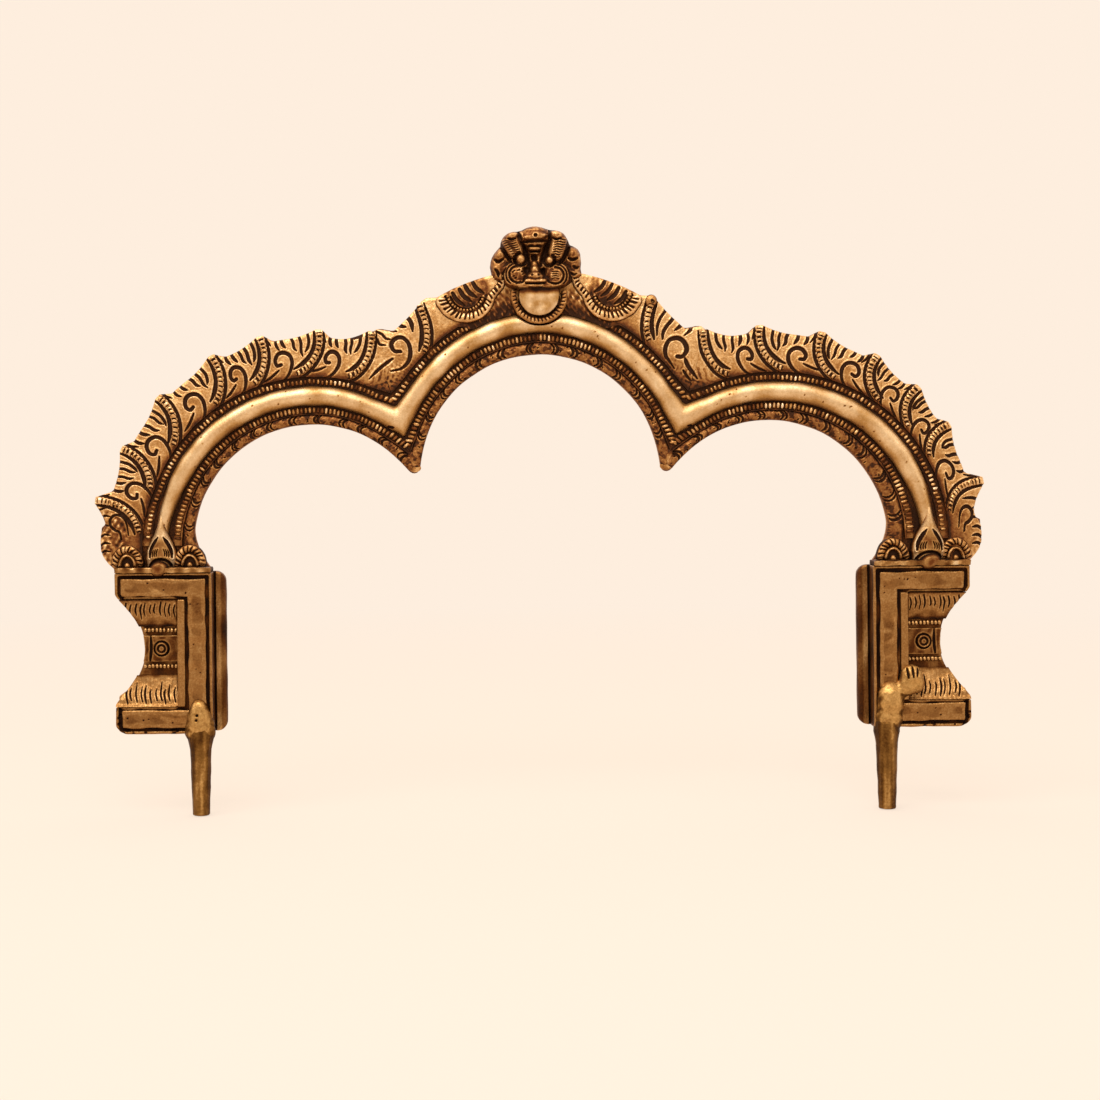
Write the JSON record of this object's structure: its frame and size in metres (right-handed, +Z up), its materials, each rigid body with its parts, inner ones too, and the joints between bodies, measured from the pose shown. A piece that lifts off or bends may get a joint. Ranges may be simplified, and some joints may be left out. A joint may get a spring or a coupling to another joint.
{
  "type": "brass prabhavali",
  "caption": "Brass trefoil arch in low relief with a flame edge, a lion mask at its crown and waisted foot blocks on pegs, which stands behind a small shrine figure.",
  "frame": {"origin": "midway between the two pegs, on their own centre plane and on the plane where the blocks sit", "axes": "+X to the right as the front is seen, the front faces -Y, +Z up"},
  "size_m": [0.2225, 0.0105, 0.1458],
  "materials": {
    "bright_brass": "worn bright by polishing",
    "aged_brass": "satin, dark in the hollows",
    "block_brass": "brown with age, rubbed at the edges",
    "peg_brass": "dull, filed"
  },
  "bodies": {
    "root": {"left_roll": "bright_brass", "crown_roll": "bright_brass", "right_roll": "bright_brass", "mask_eyes": "bright_brass", "pendant_disc": "bright_brass", "left_lotus_bud": "bright_brass", "right_lotus_bud": "bright_brass", "left_ledge": "bright_brass", "right_ledge": "bright_brass", "arch_plate": "aged_brass", "left_petal_band": "aged_brass", "crown_petal_band": "aged_brass", "right_petal_band": "aged_brass", "left_inner_beading": "aged_brass", "crown_inner_beading": "aged_brass", "right_inner_beading": "aged_brass", "left_outer_beading": "aged_brass", "right_outer_beading": "aged_brass", "crown_left_beading": "aged_brass", "crown_right_beading": "aged_brass", "left_flame_ribs": "aged_brass", "right_flame_ribs": "aged_brass", "mask_face": "aged_brass", "mask_brows": "aged_brass", "mask_ears": "aged_brass", "pendant_rim": "aged_brass", "left_garland": "aged_brass", "right_garland": "aged_brass", "left_outer_scroll": "aged_brass", "left_inner_scroll": "aged_brass", "right_inner_scroll": "aged_brass", "right_outer_scroll": "aged_brass", "left_back_slab": "block_brass", "right_back_slab": "block_brass", "left_block": "block_brass", "right_block": "block_brass", "left_frame_strip": "block_brass", "right_frame_strip": "block_brass", "left_upper_cove": "block_brass", "right_upper_cove": "block_brass", "left_lower_cove": "block_brass", "right_lower_cove": "block_brass", "left_waist_panel": "block_brass", "right_waist_panel": "block_brass", "left_waist_pearls": "block_brass", "right_waist_pearls": "block_brass", "left_peg": "peg_brass", "right_peg": "peg_brass", "left_braze": "peg_brass", "right_braze": "peg_brass"}
  },
  "joints": []
}
